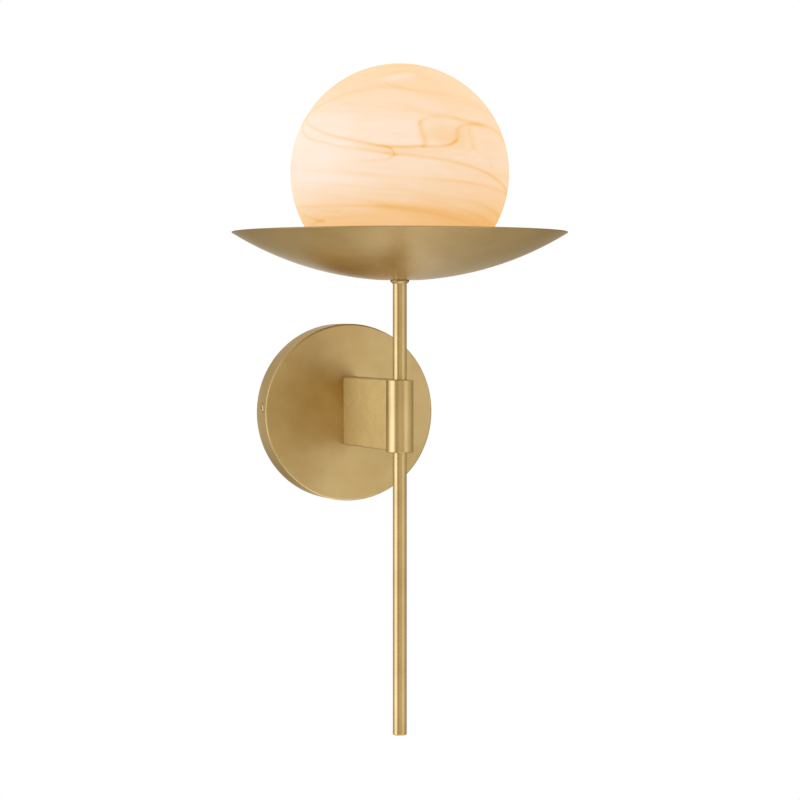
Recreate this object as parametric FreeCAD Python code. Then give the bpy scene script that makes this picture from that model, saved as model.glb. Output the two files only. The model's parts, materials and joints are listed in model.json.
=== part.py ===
"""Uplighter wall sconce: a glass globe in a brass dish, on a stem held off a round canopy.

Frame: millimetres, +Z up. The origin is the centre of the canopy on the wall plane, y = 0.
The light stands out of the wall towards -Y.
"""
import FreeCAD, Part
import math
import os

V = FreeCAD.Vector
RIGHT = V(1, 0, 0)
TO_WALL = V(0, 1, 0)
TO_ROOM = V(0, -1, 0)
UP = V(0, 0, 1)

# ---------------------------------------------------------------- gaps and fits
thread_gap = 0.05            # radial, between a screw or threaded tube and its tapped hole
screw_clearance = 0.25       # radial, round a screw that passes through a plain hole
solder_gap = 0.05            # between the arm, its end block and the collar
press_gap = 0.03             # radial, between a pressed plug and its tube
contact_gap = 0.05           # between a lamp pin and each leaf of its contact
glass_gap = 0.30             # radial, between the glass opening and the gasket
cut_margin = 1.0             # how far a cutting tool reaches past the face that it opens
pick_margin = 0.1            # allowed error when an edge is picked by its place or length

# ---------------------------------------------------------------- canopy, a shallow round cup
canopy_radius = 63.7
canopy_depth = 20.5
canopy_wall = 1.5
canopy_edge_radius = 1.4

# ---------------------------------------------------------------- wall bracket
bracket_radius = 51.0
bracket_thickness = 2.0
bracket_ear_width = 18.0
bracket_ear_gap = 1.9        # between an ear and the canopy wall, level with the canopy's centre
bracket_ear_end_gap = 2.5    # between an ear's front end and the inside of the canopy face
wall_slot_spacing = 70.0
wall_slot_width = 5.0
wall_slot_length = 14.0
supply_hole_radius = 11.0
supply_hole_height = 30.0

# ---------------------------------------------------------------- screws that hold the canopy
side_screw_height = 3.5      # above the canopy's centre
side_screw_out = 11.7        # from the wall
side_screw_radius = 2.0
side_screw_length = 8.0
side_head_radius = 2.9
side_head_height = 1.3
button_head_rounding = 1.0
dimple_radius = 3.9
dimple_floor_radius = 3.2
dimple_depth = 0.8
driver_socket_width = 1.5    # across flats
driver_socket_depth = 0.8

# ---------------------------------------------------------------- arm, a flat hollow bar
arm_thickness = 10.3
arm_height = 48.9
arm_wall = 1.5
arm_edge_radius = 0.5
arm_end_radius = 1.4
end_block_length = 12.0
lead_hole_radius = 2.6

# ---------------------------------------------------------------- fixing of the arm
backing_plate_half_width = 14.0
backing_plate_inset = 1.9    # from the arm's top and bottom
backing_plate_thickness = 2.0
backing_plate_corner = 3.0
arm_screw_spacing = 32.0
arm_screw_radius = 2.0
arm_screw_length = 14.0
arm_head_radius = 3.5
arm_head_height = 2.4
spring_washer_radius = 3.6
spring_washer_thickness = 1.0
spring_washer_split = 0.8
bush_radius = 3.7
bush_flange_radius = 5.0
bush_flange_thickness = 1.0
head_edge_radius = 0.8
head_slot_width = 0.9
head_slot_depth = 1.0

# ---------------------------------------------------------------- collar and stem
stem_axis_out = 119.2        # from the wall to the stem's axis
collar_radius = 9.3
collar_height = 49.6
collar_bottom = -23.8
collar_edge = 0.4
stem_radius = 4.76
stem_bore_radius = 3.3
stem_insert = 16.0           # how far each half of the stem goes into the collar
stem_bottom = -217.55
stem_tip_radius = 0.8
stem_plug_length = 6.0
set_screw_radius = 1.5
set_screw_inset = 8.0        # from each end of the collar
set_screw_socket_width = 1.5
set_screw_socket_depth = 1.2
set_screw_sunk = 0.3         # below the collar's surface

# ---------------------------------------------------------------- dish, spun from sheet
dish_radius = 114.41         # to the corner of its rim, before that is rounded
dish_bottom = 93.2           # lowest point of the dish's outer curve, before its flat is pressed
dish_curve_radius = 217.4    # of its outer face, which is part of a sphere
dish_wall = 0.8
dish_flat_radius = 15.0
dish_rim_rounding = 0.3
stem_hole_gap = 0.15
seat_ring_radius = 6.45
seat_ring_height = 2.45
seat_ring_taper = 1.3        # at its lower edge
seat_ring_bevel = 0.3        # at its upper edge

# ---------------------------------------------------------------- gallery that carries the globe
gallery_sheet = 1.2
gallery_floor_inset = 0.5    # from the edge of the dish's flat
gallery_slope_width = 8.0
gallery_rise = 3.15          # from the dish's floor to the underside of the gallery's rim
gallery_radius = 35.0
gallery_lip_height = 5.0
gasket_thickness = 1.5
gasket_leg = 0.6
gasket_leg_height = 2.5
gasket_to_lip_gap = 0.1
gasket_inset = 0.4           # from the gallery's edge
lock_washer_radius = 8.5
lock_washer_thickness = 1.0
stem_nut_width = 14.0        # across flats
stem_nut_height = 3.0

# ---------------------------------------------------------------- glass globe
globe_radius = 74.2
globe_wall = 3.0
globe_opening_radius = 27.5  # inside the glass, at the cut edge

# ---------------------------------------------------------------- lampholder
holder_hub_radius = 6.8
holder_hub_height = 6.5
holder_radius = 11.0
holder_plate_thickness = 1.5
holder_wire_hole_radius = 3.4
holder_body_height = 17.0
holder_cavity_half_width = 6.2
holder_cavity_half_depth = 3.0
holder_cavity_height = 8.0
holder_edge_radius = 0.8
holder_screw_offset = 8.2
holder_screw_radius = 1.25
holder_screw_head_radius = 2.25
holder_screw_head_height = 1.6
holder_screw_head_sunk = 2.4
pin_spacing = 9.0
pin_thickness = 0.8
pin_width = 2.4
pin_length = 6.0
contact_width = 2.2
contact_depth = 3.4
contact_slot_gap = 0.1
contact_sunk = 1.0           # from the lampholder's top to the contacts
contact_grip = 7.0           # depth of the slot between the contact's leaves
contact_barrel_radius = 1.15
contact_barrel_length = 4.0

# ---------------------------------------------------------------- plug-in lamp
lamp_block_width = 14.0
lamp_block_depth = 9.0
lamp_block_height = 5.0
lamp_collar_radius = 8.0
lamp_collar_height = 3.0
lamp_edge_radius = 0.7
lamp_cover_wall = 0.8
lamp_cover_height = 36.0
lamp_board_width = 9.0
lamp_board_thickness = 1.0
lamp_board_height = 27.0
lamp_chip_size = 2.8
lamp_chip_thickness = 0.6
lamp_chip_rows = 7
lamp_chip_pitch = 3.6

# ---------------------------------------------------------------- terminal block, earth and leads
terminal_pitch = 9.0
terminal_poles = 3
terminal_height = 18.0
terminal_depth = 13.0
terminal_top = -22.0
terminal_axis_out = 6.0      # from the back of the block to the poles' axes
terminal_edge_radius = 0.6
clamp_radius = 2.4
clamp_bore_radius = 1.3
clamp_length = 15.0
clamp_screw_radius = 1.3
clamp_screw_offset = 4.8
clamp_screw_length = 4.6
clamp_screw_tip_gap = 0.1
terminal_screw_radius = 1.5
terminal_screw_head_radius = 2.7
terminal_screw_head_height = 1.8
terminal_screw_end_gap = 0.5  # from the screws' tips to the wall
earth_screw_radius = 1.75
earth_screw_head_radius = 3.2
earth_screw_head_height = 2.0
earth_screw_end_gap = 0.2    # from the screw's tip to the back of the plate that it is tapped into
earth_screw_offset = 9.0
earth_tag_radius = 3.3
earth_tag_thickness = 0.8
earth_barrel_radius = 1.25
earth_barrel_length = 5.0
earth_neck_overlap = 1.0     # of the tag's neck along its barrel
bracket_earth_side = -26.0
bracket_earth_height = 26.0
lead_radius = 0.8
lead_half_spacing = 1.3
lead_elbow_radius = 6.0
lead_run_share = 0.45        # of the shorter run, taken up by the bend at its end
lead_rise_from_block = 10.0
earth_lead_rise = 3.2        # from the block to its first bend
earth_lead_drop = 2.4        # from the tag's barrel to its last bend
ferrule_radius = 0.7
ferrule_length = 3.0
clamp_ferrule_length = 7.5

# ---------------------------------------------------------------- levels worked out from the above
canopy_inside = canopy_depth - canopy_wall
backing_front = canopy_inside - backing_plate_thickness
collar_top = collar_bottom + collar_height
arm_top = collar_top
arm_middle = arm_top - arm_height / 2
dish_centre = dish_bottom + dish_curve_radius
dish_inner_radius = dish_curve_radius - dish_wall
dish_seat = dish_centre - math.sqrt(dish_curve_radius ** 2 - dish_flat_radius ** 2)
dish_floor = dish_centre - math.sqrt(dish_inner_radius ** 2 - dish_flat_radius ** 2)
gallery_floor_radius = dish_flat_radius - gallery_floor_inset
gallery_floor_top = dish_floor + gallery_sheet
gallery_rim_top = dish_floor + gallery_rise + gallery_sheet
washer_top = gallery_floor_top + lock_washer_thickness
nut_top = washer_top + stem_nut_height
hub_top = nut_top + holder_hub_height
stem_top = hub_top
holder_plate_top = hub_top + holder_plate_thickness
holder_top = holder_plate_top + holder_body_height
cavity_top = holder_plate_top + holder_cavity_height
globe_cut = gallery_rim_top + gasket_thickness
globe_inner_radius = globe_radius - globe_wall
globe_centre = globe_cut + math.sqrt(globe_inner_radius ** 2 - globe_opening_radius ** 2)
gasket_leg_outer = globe_opening_radius - glass_gap
gasket_inner = gasket_leg_outer - gasket_leg
gallery_lip_outer = gasket_inner - gasket_to_lip_gap
ear_outer = canopy_radius - canopy_wall - bracket_ear_gap
terminal_back = bracket_thickness
terminal_axis = terminal_back + terminal_axis_out
terminal_middle = terminal_top - terminal_height / 2
barrel_bottom = cavity_top - contact_barrel_length
earth_barrel_axis = backing_front - earth_barrel_radius
lamp_collar_top = holder_top + lamp_block_height + lamp_collar_height


# ---------------------------------------------------------------- helpers
def box(x_range, y_range, z_range):
    low = V(x_range[0], y_range[0], z_range[0])
    size = [high - start for start, high in (x_range, y_range, z_range)]
    return Part.makeBox(size[0], size[1], size[2], low)


def cylinder(radius, length, start, direction):
    return Part.makeCylinder(radius, length, start, direction)


def tube(outer, inner, length, start, direction):
    bore_start = start - direction * cut_margin
    bore = cylinder(inner, length + 2 * cut_margin, bore_start, direction)
    return cylinder(outer, length, start, direction).cut(bore)


def on_stem(height, across=0.0, forward=0.0):
    """A point at a height on the stem's axis, or beside it."""
    return V(across, -stem_axis_out - forward, height)


def turned(profile_edges):
    """Revolves a closed profile, drawn as (radius, height), about the stem's axis."""
    face = Part.Face(Part.Wire(profile_edges))
    solid = face.revolve(V(0, 0, 0), UP, 360)
    solid.translate(on_stem(0))
    return solid


def lines(points):
    """Straight profile edges through points given as (radius, height)."""
    corners = [V(radius, 0, height) for radius, height in points]
    return [Part.makeLine(a, b) for a, b in zip(corners, corners[1:])]


def closed(points):
    return lines(list(points) + [points[0]])


def arc(first, middle, last):
    ends = [V(radius, 0, height) for radius, height in (first, middle, last)]
    return Part.Arc(ends[0], ends[1], ends[2]).toShape()


def hexagon_prism(width, height):
    """A hexagonal prism along +Z from the origin, its width across flats."""
    corner_radius = width / math.sqrt(3)
    angles = [math.radians(turn) for turn in range(0, 361, 60)]
    corners = [V(corner_radius * math.cos(a), corner_radius * math.sin(a), 0) for a in angles]
    return Part.Face(Part.makePolygon(corners)).extrude(V(0, 0, height))


def pointed(shape, position, direction):
    """Moves a shape that was built along +Z so that it stands at a position, along a direction."""
    shape.Placement = FreeCAD.Placement(position, FreeCAD.Rotation(UP, direction))
    return shape


def screw(radius, length, head_radius, head_height, slotted=True):
    """A screw, its head above the origin: a slotted flat head, or a button head with a hex socket."""
    head = cylinder(head_radius, head_height, V(0, 0, 0), UP)
    rounding = min(head_edge_radius, head_height / 2) if slotted else button_head_rounding
    top_edges = [edge for edge in head.Edges if edge.BoundBox.ZMin > head_height - pick_margin]
    head = head.makeFillet(rounding, top_edges)
    shank = cylinder(radius, length, V(0, 0, -length), UP)
    body = head.fuse(shank)
    if slotted:
        depth = min(head_slot_depth, head_height / 2)
        half = head_slot_width / 2
        reach = head_radius + cut_margin
        recess = box((-reach, reach), (-half, half), (head_height - depth, head_height + cut_margin))
    else:
        recess = hexagon_prism(driver_socket_width, driver_socket_depth + cut_margin)
        recess.translate(V(0, 0, head_height - driver_socket_depth))
    return body.cut(recess).removeSplitter()


def grub_screw(radius, length, socket_width, socket_depth):
    """A headless screw below the origin, with its hex socket at the top."""
    body = cylinder(radius, length, V(0, 0, -length), UP)
    socket = hexagon_prism(socket_width, socket_depth + cut_margin)
    socket.translate(V(0, 0, -socket_depth))
    return body.cut(socket)


def group(shapes):
    return Part.makeCompound(shapes)


def lead(points, largest_radius):
    """A round insulated wire: straight runs through the points, joined by tangent arcs."""
    edges = []
    start = points[0]
    for before, corner, after in zip(points, points[1:], points[2:]):
        into = (corner - before).normalize()
        out_of = (after - corner).normalize()
        half_turn = into.getAngle(out_of) / 2
        run = min(corner.distanceToPoint(before), corner.distanceToPoint(after))
        radius = min(largest_radius, lead_run_share * run / math.tan(half_turn))
        reach = radius * math.tan(half_turn)
        arc_start = corner - into * reach
        arc_end = corner + out_of * reach
        bulge = (out_of - into).normalize()
        arc_middle = corner + bulge * (radius / math.cos(half_turn) - radius)
        edges.append(Part.makeLine(start, arc_start))
        edges.append(Part.Arc(arc_start, arc_middle, arc_end).toShape())
        start = arc_end
    edges.append(Part.makeLine(start, points[-1]))
    path = Part.Wire(edges)
    section = Part.Wire(Part.makeCircle(lead_radius, points[0], points[1] - points[0]))
    solid = path.makePipeShell([section], True, False)
    full_volume = path.Length * math.pi * lead_radius ** 2
    print("lead length %.1f mm, volume share %.4f" % (path.Length, solid.Volume / full_volume))
    return solid


# ---------------------------------------------------------------- canopy and wall bracket
def side_screw_seat(side):
    """Where a side screw's head rests on the floor of its dimple, for the side +1 or -1."""
    wall_at_height = math.sqrt(canopy_radius ** 2 - side_screw_height ** 2)
    return V(side * (wall_at_height - dimple_depth), -side_screw_out, side_screw_height)


def make_canopy():
    cup = cylinder(canopy_radius, canopy_depth, V(0, 0, 0), TO_ROOM)
    front_edges = [edge for edge in cup.Edges if edge.BoundBox.YMax < -canopy_depth / 2]
    cup = cup.makeFillet(canopy_edge_radius, front_edges)
    inside_start = V(0, cut_margin, 0)
    hollow = cylinder(canopy_radius - canopy_wall, canopy_inside + cut_margin, inside_start, TO_ROOM)
    cup = cup.cut(hollow)
    for height in arm_screw_heights():
        cup = cup.cut(through_face(arm_screw_radius + screw_clearance, height))
    cup = cup.cut(through_face(bush_radius + thread_gap, arm_middle))
    for side in (1, -1):
        seat = side_screw_seat(side)
        outwards = RIGHT * side
        slope = (dimple_radius - dimple_floor_radius) / dimple_depth
        reach = dimple_depth + cut_margin
        dimple = Part.makeCone(dimple_floor_radius, dimple_floor_radius + slope * reach, reach,
                               seat, outwards)
        hole_start = seat - outwards * (canopy_wall + cut_margin)
        hole = cylinder(side_screw_radius + screw_clearance, 2 * canopy_wall + cut_margin,
                        hole_start, outwards)
        cup = cup.cut(dimple).cut(hole)
    return cup


def through_face(radius, height, across=0.0):
    """A cutting rod through the canopy's face and the backing plate behind it."""
    start = V(across, cut_margin - backing_front, height)
    length = canopy_depth - backing_front + 2 * cut_margin
    return cylinder(radius, length, start, TO_ROOM)


def wall_slot(centre_x):
    half = wall_slot_width / 2
    run = wall_slot_length / 2 - half
    deep = bracket_thickness + 2 * cut_margin
    middle = box((centre_x - run, centre_x + run), (cut_margin - deep, cut_margin), (-half, half))
    for end in (-run, run):
        middle = middle.fuse(cylinder(half, deep, V(centre_x + end, cut_margin, 0), TO_ROOM))
    return middle


def make_wall_bracket():
    plate = cylinder(bracket_radius, bracket_thickness, V(0, 0, 0), TO_ROOM)
    low = side_screw_height - bracket_ear_width / 2
    high = side_screw_height + bracket_ear_width / 2
    ear_end = canopy_inside - bracket_ear_end_gap
    for side in (1, -1):
        reach = sorted((side * bracket_radius / 2, side * ear_outer))
        upright = sorted((side * (ear_outer - bracket_thickness), side * ear_outer))
        plate = plate.fuse(box(reach, (-bracket_thickness, 0), (low, high)))
        plate = plate.fuse(box(upright, (-ear_end, 0), (low, high)))
        hole_start = V(side * (ear_outer - bracket_thickness - cut_margin), -side_screw_out,
                       side_screw_height)
        plate = plate.cut(cylinder(side_screw_radius + thread_gap,
                                   bracket_thickness + 2 * cut_margin, hole_start, RIGHT * side))
        plate = plate.cut(wall_slot(side * wall_slot_spacing / 2))
    holes = [(supply_hole_radius, 0, supply_hole_height)]
    holes += [(terminal_screw_radius + thread_gap, x, terminal_middle) for x in terminal_screw_sides()]
    holes += [(earth_screw_radius + thread_gap, bracket_earth_side, bracket_earth_height)]
    for radius, x, z in holes:
        plate = plate.cut(cylinder(radius, bracket_thickness + 2 * cut_margin, V(x, cut_margin, z),
                                   TO_ROOM))
    return plate.removeSplitter()


def make_side_screw(side):
    body = screw(side_screw_radius, side_screw_length, side_head_radius, side_head_height, False)
    return pointed(body, side_screw_seat(side), RIGHT * side)


# ---------------------------------------------------------------- arm and its fixing
def arm_screw_heights():
    return [arm_middle - arm_screw_spacing / 2, arm_middle + arm_screw_spacing / 2]


def make_arm():
    half = arm_thickness / 2
    bottom = arm_top - arm_height
    bar = box((-half, half), (-stem_axis_out, -canopy_depth), (bottom, arm_top))
    long_edges = [edge for edge in bar.Edges if edge.BoundBox.YLength > arm_height / 2]
    bar = bar.makeFillet(arm_edge_radius, long_edges)
    at_canopy = box((-arm_thickness, arm_thickness), (-canopy_depth - arm_end_radius, -canopy_depth),
                    (bottom - cut_margin, arm_top + cut_margin))
    rounded_end = box((-arm_thickness, arm_thickness), (-stem_axis_out, -canopy_depth),
                      (bottom, arm_top))
    end_edges = [edge for edge in rounded_end.Edges
                 if edge.BoundBox.XLength > arm_thickness
                 and edge.BoundBox.YMin > -canopy_depth - pick_margin]
    rounded_end = rounded_end.makeFillet(arm_end_radius, end_edges)
    bar = bar.cut(at_canopy.cut(rounded_end))
    hollow = box((arm_wall - half, half - arm_wall), (-stem_axis_out, cut_margin - canopy_depth),
                 (bottom + arm_wall, arm_top - arm_wall))
    cope_height = arm_height + 2 * cut_margin
    cope = cylinder(collar_radius + solder_gap, cope_height, on_stem(bottom - cut_margin), UP)
    return bar.cut(hollow).cut(cope)


def make_arm_end_block():
    half = arm_thickness / 2 - arm_wall - solder_gap
    low = arm_top - arm_height + arm_wall + solder_gap
    high = arm_top - arm_wall - solder_gap
    block_end = canopy_depth + end_block_length
    block = box((-half, half), (-block_end, -canopy_depth), (low, high))
    start = V(0, cut_margin - canopy_depth, arm_middle)
    length = end_block_length + 2 * cut_margin
    block = block.cut(cylinder(lead_hole_radius, length, start, TO_ROOM))
    for height in arm_screw_heights():
        hole = cylinder(arm_screw_radius + thread_gap, length, V(0, start.y, height), TO_ROOM)
        block = block.cut(hole)
    return block


def make_backing_plate():
    half = backing_plate_half_width
    low = arm_top - arm_height + backing_plate_inset
    high = arm_top - backing_plate_inset
    plate = box((-half, half), (-canopy_inside, -backing_front), (low, high))
    corners = [edge for edge in plate.Edges
               if edge.BoundBox.XLength < pick_margin and edge.BoundBox.ZLength < pick_margin]
    plate = plate.makeFillet(backing_plate_corner, corners)
    for height in arm_screw_heights():
        plate = plate.cut(through_face(arm_screw_radius + screw_clearance, height))
    plate = plate.cut(through_face(bush_radius + thread_gap, arm_middle))
    tapped = through_face(earth_screw_radius + thread_gap, arm_middle, earth_screw_offset)
    return plate.cut(tapped)


def make_arm_screws():
    seat = backing_front - spring_washer_thickness
    bodies = []
    for height in arm_screw_heights():
        body = screw(arm_screw_radius, arm_screw_length, arm_head_radius, arm_head_height)
        bodies.append(pointed(body, V(0, -seat, height), TO_WALL))
    return group(bodies)


def make_spring_washers():
    washers = []
    for height in arm_screw_heights():
        start = V(0, -backing_front, height)
        ring = tube(spring_washer_radius, arm_screw_radius + screw_clearance,
                    spring_washer_thickness, start, TO_WALL)
        half = spring_washer_split / 2
        split = box((-half, half), (-backing_front - cut_margin, -backing_front + 2 * cut_margin),
                    (height, height + spring_washer_radius + cut_margin))
        washers.append(ring.cut(split))
    return group(washers)


def make_lead_bush():
    start = V(0, -canopy_depth, arm_middle)
    sleeve = cylinder(bush_radius, canopy_depth - backing_front, start, TO_WALL)
    flange = cylinder(bush_flange_radius, bush_flange_thickness, V(0, -backing_front, arm_middle),
                      TO_WALL)
    bore_start = V(0, -canopy_depth - cut_margin, arm_middle)
    bore_length = canopy_depth - backing_front + bush_flange_thickness + 2 * cut_margin
    bore = cylinder(lead_hole_radius, bore_length, bore_start, TO_WALL)
    return sleeve.fuse(flange).cut(bore).removeSplitter()


# ---------------------------------------------------------------- collar and stem
def set_screw_heights():
    return [collar_bottom + set_screw_inset, collar_top - set_screw_inset]


def make_collar():
    outer = collar_radius
    bevel = collar_edge
    bore = stem_radius + thread_gap
    profile = [(bore, collar_bottom), (outer - bevel, collar_bottom), (outer, collar_bottom + bevel),
               (outer, collar_top - bevel), (outer - bevel, collar_top), (bore, collar_top)]
    sleeve = turned(closed(profile))
    side_hole = cylinder(lead_hole_radius, collar_radius + cut_margin, on_stem(arm_middle), TO_WALL)
    sleeve = sleeve.cut(side_hole)
    for height in set_screw_heights():
        hole = cylinder(set_screw_radius + thread_gap, collar_radius + cut_margin, on_stem(height),
                        RIGHT)
        sleeve = sleeve.cut(hole)
    return sleeve


def make_collar_set_screws():
    screws = []
    outer_end = collar_radius - set_screw_sunk
    for height in set_screw_heights():
        body = grub_screw(set_screw_radius, outer_end - stem_radius - thread_gap,
                          set_screw_socket_width, set_screw_socket_depth)
        screws.append(pointed(body, on_stem(height, across=outer_end), RIGHT))
    return group(screws)


def make_stem_upper():
    start = collar_top - stem_insert
    return tube(stem_radius, stem_bore_radius, stem_top - start, on_stem(start), UP)


def make_stem_lower():
    length = collar_bottom + stem_insert - stem_bottom
    rod = cylinder(stem_radius, length, on_stem(stem_bottom), UP)
    tip_edges = [edge for edge in rod.Edges if edge.BoundBox.ZMax < stem_bottom + stem_radius]
    rod = rod.makeFillet(stem_tip_radius, tip_edges)
    bore = cylinder(stem_bore_radius, length + 2 * cut_margin, on_stem(stem_bottom - cut_margin), UP)
    return rod.cut(bore)


def make_stem_end_plug():
    return cylinder(stem_bore_radius - press_gap, stem_plug_length, on_stem(stem_bottom), UP)


# ---------------------------------------------------------------- dish and what clamps it
def dish_arc(sphere_radius):
    """One face of the dish in profile, from its flat to its rim, which is cut square to the sheet."""
    flat_angle = math.asin(dish_flat_radius / sphere_radius)
    rim_angle = math.asin(dish_radius / dish_curve_radius)
    points = [(sphere_radius * math.sin(angle), dish_centre - sphere_radius * math.cos(angle))
              for angle in (flat_angle, (flat_angle + rim_angle) / 2, rim_angle)]
    return arc(points[0], points[1], points[2]), points[0], points[2]


def make_dish():
    hole = stem_radius + stem_hole_gap
    outer_arc, outer_flat, outer_rim = dish_arc(dish_curve_radius)
    inner_arc, inner_flat, inner_rim = dish_arc(dish_inner_radius)
    flat = lines([inner_flat, (hole, dish_floor), (hole, dish_seat), outer_flat])
    rim = lines([outer_rim, inner_rim])
    dish = turned(flat + [outer_arc] + rim + [inner_arc])
    rim_edges = [edge for edge in dish.Edges if edge.BoundBox.XLength > 2 * (dish_radius - dish_wall)]
    return dish.makeFillet(dish_rim_rounding, rim_edges)


def make_dish_seat_ring():
    bore = stem_radius + thread_gap
    bottom = dish_seat - seat_ring_height
    outer = seat_ring_radius
    taper = seat_ring_taper
    bevel = seat_ring_bevel
    profile = [(bore, bottom), (outer - taper, bottom), (outer, bottom + taper),
               (outer, dish_seat - bevel), (outer - bevel, dish_seat), (bore, dish_seat)]
    return turned(closed(profile))


def make_globe_gallery():
    hole = stem_radius + stem_hole_gap
    low = dish_floor
    under = dish_floor + gallery_rise
    top = gallery_rim_top
    slope_end = gallery_floor_radius + gallery_slope_width
    lip_outer = gallery_lip_outer
    lip_inner = lip_outer - gallery_sheet
    lip_top = top + gallery_lip_height
    profile = [(hole, low), (gallery_floor_radius, low), (slope_end, under), (gallery_radius, under),
               (gallery_radius, top), (lip_outer, top), (lip_outer, lip_top), (lip_inner, lip_top),
               (lip_inner, top), (slope_end - gallery_sheet / 2, top),
               (gallery_floor_radius - gallery_sheet / 2, gallery_floor_top),
               (hole, gallery_floor_top)]
    return turned(closed(profile))


def make_gallery_gasket():
    low = gallery_rim_top
    top = low + gasket_thickness
    leg_top = top + gasket_leg_height
    outer = gallery_radius - gasket_inset
    profile = [(gasket_inner, low), (outer, low), (outer, top), (gasket_leg_outer, top),
               (gasket_leg_outer, leg_top), (gasket_inner, leg_top)]
    return turned(closed(profile))


def make_gallery_lock_washer():
    return tube(lock_washer_radius, stem_radius + stem_hole_gap, lock_washer_thickness,
                on_stem(gallery_floor_top), UP)


def make_stem_nut():
    nut = hexagon_prism(stem_nut_width, stem_nut_height)
    nut.translate(on_stem(washer_top))
    bore = cylinder(stem_radius + thread_gap, stem_nut_height + 2 * cut_margin,
                    on_stem(washer_top - cut_margin), UP)
    return nut.cut(bore)


# ---------------------------------------------------------------- globe
def make_globe():
    outer = Part.makeSphere(globe_radius, on_stem(globe_centre))
    inner = Part.makeSphere(globe_inner_radius, on_stem(globe_centre))
    reach = globe_radius + cut_margin
    below = box((-reach, reach), (-stem_axis_out - reach, -stem_axis_out + reach),
                (globe_centre - reach, globe_cut))
    return outer.cut(inner).cut(below)


# ---------------------------------------------------------------- lampholder
def make_holder_base():
    bore = stem_radius + thread_gap
    hub = tube(holder_hub_radius, bore, holder_hub_height, on_stem(nut_top), UP)
    plate = tube(holder_radius, holder_wire_hole_radius, holder_plate_thickness, on_stem(hub_top), UP)
    base = hub.fuse(plate)
    for side in (1, -1):
        hole = cylinder(holder_screw_radius + thread_gap, holder_plate_thickness + 2 * cut_margin,
                        on_stem(hub_top - cut_margin, forward=side * holder_screw_offset), UP)
        base = base.cut(hole)
    return base.removeSplitter()


def make_holder_body():
    body = cylinder(holder_radius, holder_body_height, on_stem(holder_plate_top), UP)
    top_edges = [edge for edge in body.Edges if edge.BoundBox.ZMin > holder_top - pick_margin]
    body = body.makeFillet(holder_edge_radius, top_edges)
    across = holder_cavity_half_width
    forward = holder_cavity_half_depth
    centre = -stem_axis_out
    body = body.cut(box((-across, across), (centre - forward, centre + forward),
                        (holder_plate_top - cut_margin, cavity_top)))
    half_x = contact_width / 2 + contact_slot_gap
    half_y = contact_depth / 2 + contact_slot_gap
    for side in (1, -1):
        middle = side * pin_spacing / 2
        slot = box((middle - half_x, middle + half_x), (centre - half_y, centre + half_y),
                   (cavity_top - cut_margin, holder_top + cut_margin))
        body = body.cut(slot)
        start = on_stem(holder_plate_top - cut_margin, forward=side * holder_screw_offset)
        screw_hole = cylinder(holder_screw_radius + screw_clearance,
                              holder_body_height + 2 * cut_margin, start, UP)
        pocket_start = on_stem(holder_top - holder_screw_head_sunk, forward=side * holder_screw_offset)
        pocket = cylinder(holder_screw_head_radius + screw_clearance,
                          holder_screw_head_sunk + cut_margin, pocket_start, UP)
        body = body.cut(screw_hole).cut(pocket)
    return body


def make_holder_screws():
    screws = []
    seat = holder_top - holder_screw_head_sunk
    length = seat - hub_top
    for side in (1, -1):
        body = screw(holder_screw_radius, length, holder_screw_head_radius, holder_screw_head_height)
        screws.append(pointed(body, on_stem(seat, forward=side * holder_screw_offset), UP))
    return group(screws)


def make_holder_contacts():
    contacts = []
    centre = -stem_axis_out
    half_y = contact_depth / 2
    gap = pin_thickness / 2 + contact_gap
    contact_top = holder_top - contact_sunk
    for side in (1, -1):
        middle = side * pin_spacing / 2
        body = box((middle - contact_width / 2, middle + contact_width / 2),
                   (centre - half_y, centre + half_y), (cavity_top, contact_top))
        body = body.cut(box((middle - gap, middle + gap), (centre - contact_depth, centre + contact_depth),
                            (contact_top - contact_grip, contact_top + cut_margin)))
        barrel = cylinder(contact_barrel_radius, contact_barrel_length,
                          on_stem(barrel_bottom, across=middle), UP)
        socket = cylinder(ferrule_radius + thread_gap, ferrule_length + cut_margin,
                          on_stem(barrel_bottom - cut_margin, across=middle), UP)
        contacts.append(body.fuse(barrel).cut(socket).removeSplitter())
    return group(contacts)


# ---------------------------------------------------------------- plug-in lamp
def make_lamp_base():
    half_x = lamp_block_width / 2
    half_y = lamp_block_depth / 2
    centre = -stem_axis_out
    block_top = holder_top + lamp_block_height
    block = box((-half_x, half_x), (centre - half_y, centre + half_y), (holder_top, block_top))
    uprights = [edge for edge in block.Edges if edge.BoundBox.ZLength > lamp_block_height / 2]
    block = block.makeFillet(lamp_edge_radius, uprights)
    disc = cylinder(lamp_collar_radius, lamp_collar_height, on_stem(block_top), UP)
    return block.fuse(disc).removeSplitter()


def make_lamp_pins():
    pins = []
    half_x = pin_thickness / 2
    half_y = pin_width / 2
    centre = -stem_axis_out
    for side in (1, -1):
        middle = side * pin_spacing / 2
        blade = box((middle - half_x, middle + half_x), (centre - half_y, centre + half_y),
                    (holder_top - pin_length + half_y, holder_top))
        tip = cylinder(half_y, pin_thickness,
                       V(middle - half_x, centre, holder_top - pin_length + half_y), RIGHT)
        pins.append(blade.fuse(tip).removeSplitter())
    return group(pins)


def make_lamp_cover():
    start = lamp_collar_top
    straight = lamp_cover_height - lamp_collar_radius
    outer = lamp_collar_radius
    inner = outer - lamp_cover_wall
    shoulder = start + straight
    diagonal = math.sqrt(0.5)
    edges = lines([(inner, shoulder), (inner, start), (outer, start), (outer, shoulder)])
    edges.append(arc((outer, shoulder), (outer * diagonal, shoulder + outer * diagonal),
                     (0, shoulder + outer)))
    edges += lines([(0, shoulder + outer), (0, shoulder + inner)])
    edges.append(arc((0, shoulder + inner), (inner * diagonal, shoulder + inner * diagonal),
                     (inner, shoulder)))
    return turned(edges)


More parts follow.
